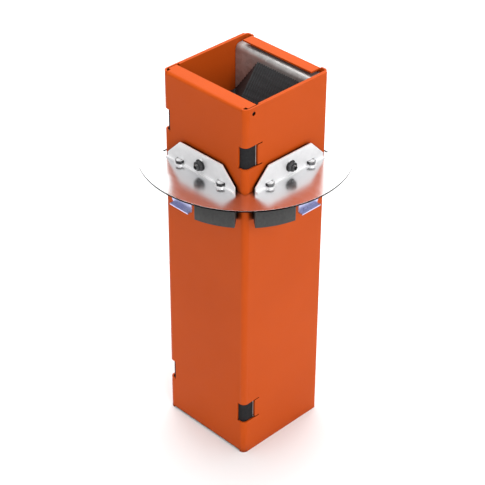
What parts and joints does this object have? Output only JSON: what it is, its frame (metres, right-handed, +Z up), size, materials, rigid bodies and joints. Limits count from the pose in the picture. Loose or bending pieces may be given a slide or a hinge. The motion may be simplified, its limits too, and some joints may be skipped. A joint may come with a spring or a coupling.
{
  "type": "fire-rated cable pathway sleeve",
  "caption": "Square steel cable sleeve with self-closing foam pads and a round clamped floor collar, for passing cables through a cored fire-rated floor.",
  "frame": {"origin": "centre of the sleeve's lower end, on its lower flanges", "axes": "+Z up along the sleeve; -Y and +X are the two walls at the front corner; the nested seams are at the +Y wall"},
  "size_m": [0.184, 0.184, 0.3556],
  "materials": {
    "orange_powder_coat": "satin powder coat",
    "galvanised_steel": "satin galvanised",
    "intumescent": "matt graphite-filled slab",
    "foam": "matt open-cell foam",
    "polished_steel": "rolled bright steel, rough mirror",
    "bracket_steel": "bright zinc plate",
    "gasket_rubber": "matt",
    "skirt_composite": "satin dark grey",
    "clip_steel": "bright plated",
    "fastener_zinc": "bright zinc"
  },
  "bodies": {
    "sleeve": {"outer_channel": "orange_powder_coat", "inner_channel": "orange_powder_coat", "front_pan": "galvanised_steel", "rear_pan": "galvanised_steel", "front_slab": "intumescent", "rear_slab": "intumescent"},
    "collar": {"front_plate_half": "polished_steel", "rear_plate_half": "polished_steel", "front_gasket_half": "gasket_rubber", "rear_gasket_half": "gasket_rubber", "bracket_front_left": "bracket_steel", "bracket_front_right": "bracket_steel", "bracket_rear_right": "bracket_steel", "bracket_rear_left": "bracket_steel", "skirt_front_left": "skirt_composite", "skirt_front_right": "skirt_composite", "skirt_rear_right": "skirt_composite", "skirt_rear_left": "skirt_composite", "clip_front_left": "clip_steel", "clip_front_right": "clip_steel", "clip_rear_right": "clip_steel", "clip_rear_left": "clip_steel", "skirt_bolts": "fastener_zinc", "clip_bolts": "fastener_zinc", "clip_nuts": "fastener_zinc", "clamp_washers": "fastener_zinc", "clamp_nuts": "fastener_zinc"},
    "front_foam": {"front_pad": "foam"},
    "rear_foam": {"rear_pad": "foam"},
    "screw_front_left": {"clamp_screw_front_left": "fastener_zinc"},
    "disc_front_left": {"pressure_disc_front_left": "fastener_zinc"},
    "screw_front_right": {"clamp_screw_front_right": "fastener_zinc"},
    "disc_front_right": {"pressure_disc_front_right": "fastener_zinc"},
    "screw_rear_right": {"clamp_screw_rear_right": "fastener_zinc"},
    "disc_rear_right": {"pressure_disc_rear_right": "fastener_zinc"},
    "screw_rear_left": {"clamp_screw_rear_left": "fastener_zinc"},
    "disc_rear_left": {"pressure_disc_rear_left": "fastener_zinc"}
  },
  "joints": [
    {"name": "collar_slide", "type": "slide", "parent": "sleeve", "child": "collar", "axis": [0, 0, 1], "range_m": [-0.17, 0.05]},
    {"name": "front_pad_squeeze", "type": "slide", "parent": "sleeve", "child": "front_foam", "axis": [0, -1, 0], "range_m": [0, 0.018], "stiffness_N_per_m": 400, "deforming": ["front_pad"]},
    {"name": "rear_pad_squeeze", "type": "slide", "parent": "sleeve", "child": "rear_foam", "axis": [0, 1, 0], "range_m": [0, 0.018], "stiffness_N_per_m": 400, "deforming": ["rear_pad"]},
    {"name": "clamp_screw_advance_front_left", "type": "slide", "parent": "collar", "child": "disc_front_left", "axis": [0, -1, 0], "range_m": [0, 0.0012]},
    {"name": "clamp_screw_turn_front_left", "type": "hinge", "parent": "disc_front_left", "child": "screw_front_left", "pos_m": [0, -0.0523, 0.287], "axis": [0, -1, 0], "range_deg": [0, 545]},
    {"name": "clamp_screw_advance_front_right", "type": "slide", "parent": "collar", "child": "disc_front_right", "axis": [1, 0, 0], "range_m": [0, 0.0012]},
    {"name": "clamp_screw_turn_front_right", "type": "hinge", "parent": "disc_front_right", "child": "screw_front_right", "pos_m": [0.0523, 0, 0.287], "axis": [1, 0, 0], "range_deg": [0, 545]},
    {"name": "clamp_screw_advance_rear_right", "type": "slide", "parent": "collar", "child": "disc_rear_right", "axis": [0, 1, 0], "range_m": [0, 0.0012]},
    {"name": "clamp_screw_turn_rear_right", "type": "hinge", "parent": "disc_rear_right", "child": "screw_rear_right", "pos_m": [0, 0.0523, 0.287], "axis": [0, 1, 0], "range_deg": [0, 545]},
    {"name": "clamp_screw_advance_rear_left", "type": "slide", "parent": "collar", "child": "disc_rear_left", "axis": [-1, 0, 0], "range_m": [0, 0.0012]},
    {"name": "clamp_screw_turn_rear_left", "type": "hinge", "parent": "disc_rear_left", "child": "screw_rear_left", "pos_m": [-0.0523, 0, 0.287], "axis": [-1, 0, 0], "range_deg": [0, 545]}
  ],
  "couplings": [
    {"joint": "clamp_screw_turn_front_left", "follows": "clamp_screw_advance_front_left", "rad_per_m": 7854},
    {"joint": "clamp_screw_turn_front_right", "follows": "clamp_screw_advance_front_right", "rad_per_m": 7854},
    {"joint": "clamp_screw_turn_rear_right", "follows": "clamp_screw_advance_rear_right", "rad_per_m": 7854},
    {"joint": "clamp_screw_turn_rear_left", "follows": "clamp_screw_advance_rear_left", "rad_per_m": 7854}
  ]
}
